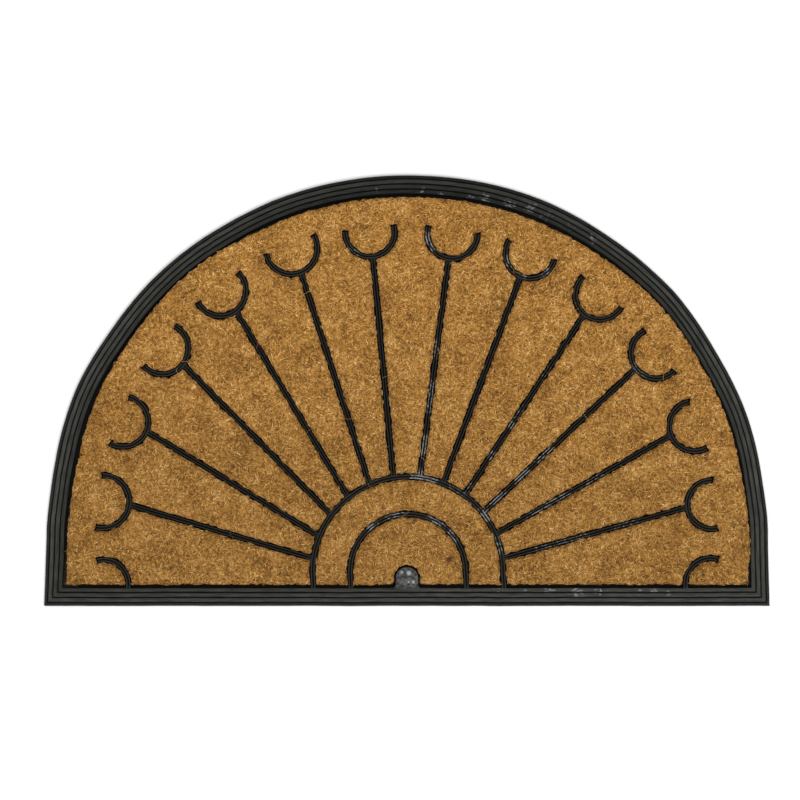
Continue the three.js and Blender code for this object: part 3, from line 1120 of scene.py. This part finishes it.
def makeCoirGroup():
    # the colour of a strand from its own tone and the patch of the mat it lies in, with painted shade near an
    # edge and painted light towards the far side
    tree, given, result = newGroup("Shader", "coirColour", {
        "Tone": ("Float", 0.5), "Edge Room": ("Float", 0.01),
    }, {"Color": "Color"})
    where = objectPlace(tree)
    patch = noiseOf(where, coirLook["patchScale"], 2.5, 0.62)
    fleck = noiseOf(where, coirLook["fleckScale"], 2.0, 0.6)
    tone = times(minus(given["Tone"], 0.52), 0.76)
    noises = plus(times(minus(patch, 0.5), 0.7), times(minus(fleck, 0.5), 0.95))
    steps = zip((0.0, 0.2, 0.5, 0.8, 1.0), ("shade", "deep", "middle", "pale", "straw"))
    stops = [(place, coirLook[colour]) for place, colour in steps]
    colour = ramp(maths("ADD", plus(tone, 0.5), noises, clamp=True), stops)
    # a few strands are nearly black, and a few are bleached
    colour = mixed(rangeOf(given["Tone"], 0.04, 0.07, 0.85, 0.0), colour, coirLook["burnt"])
    colour = mixed(rangeOf(given["Tone"], 0.95, 0.98, 0.0, 0.4), colour, coirLook["bleached"])
    # painted shade: the coir is painted darker near a field's edge, beside the ribs and the border
    near = rangeOf(given["Edge Room"], 0.0, 0.0032, 0.5, 0.0)
    edgeShadeShare = times(near, rangeOf(noiseOf(where, coirLook["edgeShadeScale"]), 0.35, 0.65, 0.45, 1.0))
    colour = tinted(colour, coirLook["paintedEdgeShade"], edgeShadeShare)
    colour = tinted(colour, coirLook["stained"], spotsIn(where, coirStains))
    # painted light: the coir is painted lighter towards the far side, the top of the arch
    feed(result["Color"], tinted(colour, grey(rangeOf(parted(where)["Y"], -0.2, 0.16, 0.99, 1.22))))
    return tree


coirGroup = makeCoirGroup()


def coirColour(tree, tone):
    return groupOf(tree, coirGroup, {"Tone": tone, "Edge Room": shaderAttribute(tree, "edgeRoom")})


def makeStrandMaterial(name):
    material, tree, shader = newMaterial(name, roughness=0.62, specular=0.32)
    feed(shader["Base Color"], coirColour(tree, shaderAttribute(tree, "strandTone")))
    gloss = noiseOf(objectPlace(tree), coirLook["glossScale"])
    feed(shader["Roughness"], rangeOf(gloss, 0.3, 0.7, 0.5, 0.78))
    return material


def makeFieldMaterial(name):
    # the felt under the strands: the same colours painted a little darker, painted shade for the depths
    # between the strands, with a fine matted relief
    material, tree, shader = newMaterial(name, roughness=0.85, specular=0.2)
    matted = noiseOf(objectPlace(tree), coirLook["feltScale"], 4.0, 0.68)
    colour = coirColour(tree, rangeOf(matted, 0.28, 0.72, 0.0, 0.82))
    feed(shader["Base Color"], tinted(colour, coirLook["feltDepthShade"]))
    feed(shader["Roughness"], rangeOf(matted, 0.3, 0.7, 0.95, 0.75))
    feed(shader["Normal"], reliefOf(matted, strength=0.9, distance=0.0009))
    return material


rubberLook = {
    "border": (0.0395, 0.0395, 0.0345),
    "ribs": (0.0275, 0.027, 0.024),
    # the colour of the painted shade in grooves and low places among the ribs
    "recessShade": (0.003, 0.003, 0.0027),
    "dust": (0.085, 0.086, 0.078),
    "scuff": (0.31, 0.33, 0.35),
    "boss": (0.1, 0.102, 0.095),
    "cloudScale": 46.0,
    "fineScale": 520.0,
    "streakScale": 620.0,
    "speckScale": 1300.0,
    "mottleScale": 330.0,
    "strayScale": 210.0,
    "borderWearScale": 560.0,
    "ribWearScale": 640.0,
    "dimpleScale": 130.0,
}
# worn whitish places on the arch: angle, inset, radius and how much of the place is scuffed
archScuffs = [
    (58, 12.5, 9, 0.85), (66.5, 13, 9, 0.8), (69.4, 11.5, 10, 0.95), (73, 15.5, 10, 0.85),
    (77, 15.5, 9, 0.95), (79.5, 16, 7, 0.85), (84.5, 16.5, 6, 0.8), (87.6, 15.5, 6, 1.0),
    (94.8, 14.5, 5, 0.85), (62, 9, 8, 0.6), (101, 16, 4, 0.6),
]
# the same on the straight side: x, inset, radius and share
straightScuffs = [
    (30.1, 16, 4, 0.7), (94.3, 17, 5, 0.8), (120, 17, 5, 0.85), (147, 17.3, 10, 0.9), (176, 17.2, 12, 1.0),
    (196, 17.5, 7, 1.0), (241, 16.5, 4.5, 0.95), (254.6, 17, 6.5, 1.05), (269.5, 15, 4, 1.0),
    (-226, 12.6, 4, 0.6), (-300, 16, 5, 0.5), (210, 12, 16, 0.5), (70, 8, 16, 0.45),
]
# stretches of rib where the beads have worn white: x, y, radius and share
ribScuffs = [
    (19, 44, 26, 0.9), (22, -6, 30, 0.9), (17, -56, 22, 1.0), (13, -90, 16, 1.0), (107, -35, 8, 1.0),
    (86, -66, 9, 1.0), (63, -98, 8, 0.9), (143, -67, 20, 0.9), (120, -90, 20, 1.0), (96, -115, 22, 1.0),
    (82, -129, 12, 1.0), (22, -90, 18, 0.9), (52, -104, 18, 0.7), (76, -128, 14, 0.7), (94, -160, 16, 0.8),
    (-12, -128, 20, 0.75), (-34, -140, 14, 0.8), (30, -134, 18, 0.9), (48, -150, 14, 0.9),
    (-57, 146, 18, 0.75), (-44, 150, 14, 0.6), (24, 154, 18, 0.95), (50, 150, 16, 0.8),
    (108, 134, 14, 0.8), (122, 122, 10, 1.0), (142, 122, 12, 0.8), (-33, -90, 5, 0.9), (190, 88, 24, 0.55),
    (150, -120, 42, 0.8), (200, -108, 44, 0.8), (160, -160, 62, 0.75), (228, -150, 34, 0.75),
    (240, 20, 20, 0.7), (118, -26, 28, 0.6), (150, 20, 30, 0.55),
]
# pale marks on the boss: x, y from the straight edge, radius and share
bossMarks = [(-5.1, 35.5, 2.2, 0.8), (2.2, 34.5, 3.2, 1.0), (1.7, 25.2, 1.8, 0.8), (6.8, 25.2, 2.2, 1.0)]


def fromEdge(rows):
    return [(x, bottomY + rise, *rest) for x, rise, *rest in rows]


def borderScuffs():
    rows = []
    for angle, inset, *rest in archScuffs:
        turn = math.radians(angle)
        radius = archRadius - inset
        rows.append((radius * math.cos(turn), archCentreY + radius * math.sin(turn), *rest))
    return rows + fromEdge(straightScuffs)


def makeWearGroup():
    # broken, speckled wear inside a mask
    tree, given, result = newGroup("Shader", "speckledWear", {
        "Place": ("Vector", None), "Mask": ("Float", 0.0),
        "Scale": ("Float", 400.0), "Crispness": ("Float", 14.0),
    }, {"Wear": "Float"})
    floor = minus(0.77, times(given["Mask"], 0.34))
    over = minus(noiseOf(given["Place"], given["Scale"], 4.0, 0.68), floor)
    wear = maths("MULTIPLY", over, given["Crispness"], clamp=True)
    feed(result["Wear"], times(wear, rangeOf(given["Mask"], 0.0, 0.25)))
    return tree


wearGroup = makeWearGroup()


def borderColour(tree, bloom):
    # the lands: painted light and shade by place, and streaked lengthways
    colour = mixed(times(bloom, 0.2), rubberLook["border"], rubberLook["dust"])
    colour = tinted(colour, grey(shaderAttribute(tree, "paintedLandShading")))
    lengthways = squeezed(shaderAttribute(tree, "landPlace", "Vector"), 0.09)
    streak = rangeOf(noiseOf(lengthways, rubberLook["streakScale"], 2.0, 0.6), 0.32, 0.68, 0.68, 1.34)
    return tinted(colour, grey(streak))


def bossShare(where, onRibs):
    spot = spotsIn(where, fromEdge([(0.0, plan["bossRise"] - 2, 15.5, 1.0)]))
    return times(rangeOf(spot, 0.05, 0.3), onRibs)


def bossColour(where):
    mottle = rangeOf(noiseOf(where, rubberLook["mottleScale"], 3.0, 0.65), 0.38, 0.62)
    return mixed(mottle, tuple(v * 0.3 for v in rubberLook["boss"]), rubberLook["boss"])


def wearOf(tree, where, onRibs, exposed):
    # the scuffed places have no clean outline: their masks are looked up at a place that strays
    stray = noiseOf(where, rubberLook["strayScale"], 3.0, output="Color")
    strayed = vectorMaths("MULTIPLY_ADD", stray, (0.018,) * 3, where)
    worked = spotsIn(vectorMaths("SUBTRACT", strayed, (0.009,) * 3), borderScuffs())
    edgeWear = groupOf(tree, wearGroup, {
        "Place": squeezed(shaderAttribute(tree, "landPlace", "Vector"), 0.42),
        "Mask": times(worked, minus(1.0, onRibs)),
        "Scale": rubberLook["borderWearScale"],
        "Crispness": 5.0,
    })
    ribWear = groupOf(tree, wearGroup, {
        "Place": squeezed(shaderAttribute(tree, "ribPlace", "Vector"), 0.45),
        "Mask": times(spotsIn(where, ribScuffs), onRibs),
        "Scale": rubberLook["ribWearScale"],
    })
    wear = times(maths("MAXIMUM", times(edgeWear, 0.7), times(ribWear, 0.85)), exposed)
    return maths("MAXIMUM", wear, times(spotsIn(where, fromEdge(bossMarks)), 0.9))


def makeRubberMaterial():
    material, tree, shader = newMaterial("mouldedRubber", roughness=0.6, specular=0.08)
    where = objectPlace(tree)
    recessShade = shaderAttribute(tree, "recessShade")
    onRibs = shaderAttribute(tree, "onRibs")
    exposed = maths("SUBTRACT", 1.0, recessShade, clamp=True)
    cloud = noiseOf(where, rubberLook["cloudScale"], 3.0, 0.6)
    fine = noiseOf(where, rubberLook["fineScale"], 3.0, 0.6)
    bloom = times(rangeOf(cloud, 0.36, 0.66), rangeOf(fine, 0.35, 0.7, 0.25, 1.0))
    # the ribs are painted darker than the border's rubber: painted shade for their place sunk between the
    # coir
    ribs = mixed(times(bloom, 0.07), rubberLook["ribs"], rubberLook["dust"])
    colour = mixed(onRibs, borderColour(tree, bloom), ribs)
    # painted shade: grooves and the low places among the ribs are painted nearly black
    colour = mixed(times(recessShade, plus(0.79, times(onRibs, 0.19))), colour, rubberLook["recessShade"])
    speck = rangeOf(noiseOf(where, rubberLook["speckScale"], 1.0), 0.7, 0.78, 0.0, 0.5)
    colour = mixed(times(speck, exposed), colour, rubberLook["dust"])
    colour = mixed(times(bossShare(where, onRibs), exposed), colour, bossColour(where))
    wear = wearOf(tree, where, onRibs, exposed)
    feed(shader["Base Color"], mixed(wear, colour, rubberLook["scuff"]))
    feed(shader["Roughness"], plus(rangeOf(fine, 0.3, 0.7, 0.5, 0.74), times(wear, 0.15)))
    height = plus(fine, times(noiseOf(where, rubberLook["dimpleScale"], 3.0), 1.6))
    feed(shader["Normal"], reliefOf(height, strength=0.5, distance=0.00022))
    return material


# Making the pieces

rubberMat = placePiece("rubberMoulding", finishRubber(makeRubber()))
rubberMat.data.name = "rubberMoulding"
rubberMat.data.materials.clear()
rubberMat.data.materials.append(makeRubberMaterial())
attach(rubberMat, "root")
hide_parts("rubber_base")
print("rubber moulding", len(rubberMat.data.polygons), "faces")

outerHub, innerHub = plan["hubRadii"]
fields = [
    ("coirFan", "coir_fan", lambda p: ~withinHub(p, outerHub)),
    ("coirRing", "coir_ring", lambda p: withinHub(p, outerHub) & ~withinHub(p, innerHub)),
    ("coirCore", "coir_core", lambda p: withinHub(p, innerHub)),
]
fieldMaterial = makeFieldMaterial("feltedCoir")
strandMaterial = makeStrandMaterial("coirStrand")
hairMaterial = makeStrandMaterial("looseCoirHair")
sliver = makeSliver()
growStrands = strandTree()
growHairs = hairTree()
fanSectors = [(-20.0, 37.0), (37.0, 71.0), (71.0, 109.0), (109.0, 143.0), (143.0, 200.0)]
wholeTurn = [(-360.0, 360.0)]

for order, (name, node, within) in enumerate(fields):
    field, area = makeField(name, within)
    field.data.materials.append(fieldMaterial)
    grown = []
    sectors = fanSectors if name == "coirFan" else wholeTurn
    for number, (fromAngle, toAngle) in enumerate(sectors):
        label = name + "Strands" + (str(number + 1) if len(sectors) > 1 else "")
        grown.append(growOn(field, growStrands, label, {
            "Strand": sliver, "Material": strandMaterial, "Seed": 100 * order + 10 * number + 1,
            "From Angle": fromAngle, "To Angle": toAngle, "Map Cells": mapCells[name],
        }))
    grown.append(growOn(field, growHairs, name + "Hairs", {"Material": hairMaterial, "Seed": 40 + order}))
    for piece in [field, *grown]:
        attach(piece, "root")
    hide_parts(node)

bpy.data.objects.remove(sliver)
print("coir fields, strands and hairs grown")


# Floor, light and camera

studio = {
    "floorHalf": 6.0,
    "floorDrop": 0.0002,
    "floorColour": (0.93, 0.93, 0.93),
    "worldStrength": 0.62,
}
# each light's place, size and power
lights = {
    "keyLight": ((0.7, -1.5, 2.1), 1.6, 42.0),
    "fillLight": ((-1.1, 0.9, 2.4), 2.2, 16.0),
}
shot = {"place": (-0.0071, -0.0097, 2.3), "lens": 100.0, "sensor": 36.0}


def makeFloor():
    half = studio["floorHalf"] / mm
    corners = [(-half, -half, 0), (half, -half, 0), (half, half, 0), (-half, half, 0)]
    mesh = makeMesh("floor", corners, [(0, 1, 2, 3)])
    floor = placePiece("floor", mesh)
    floor.location.z = -studio["floorDrop"]
    material, _, shader = newMaterial("paleFloor", roughness=0.9, specular=0.1)
    shader["Base Color"].default_value = (*studio["floorColour"], 1.0)
    mesh.materials.append(material)


def makeLight(name, place, size, power):
    light = bpy.data.lights.new(name, "AREA")
    light.shape = "DISK"
    light.size = size
    light.energy = power
    lamp = placePiece(name, light)
    lamp.location = place
    lamp.rotation_euler = (-Vector(place)).to_track_quat("-Z", "Y").to_euler()


def makeWorld():
    world = bpy.data.worlds.new("studioAir")
    bpy.context.scene.world = world
    world.use_nodes = True
    sky = world.node_tree.nodes["Background"]
    sky.inputs["Color"].default_value = (1.0, 1.0, 1.0, 1.0)
    sky.inputs["Strength"].default_value = studio["worldStrength"]


def makeCamera():
    data = bpy.data.cameras.new("camera")
    data.lens = shot["lens"]
    data.sensor_width = shot["sensor"]
    camera = placePiece("camera", data)
    camera.location = shot["place"]
    bpy.context.scene.camera = camera


makeFloor()
makeWorld()
for name, light in lights.items():
    makeLight(name, *light)
makeCamera()
bpy.context.scene.view_settings.view_transform = "Standard"
print("floor, light and camera set")
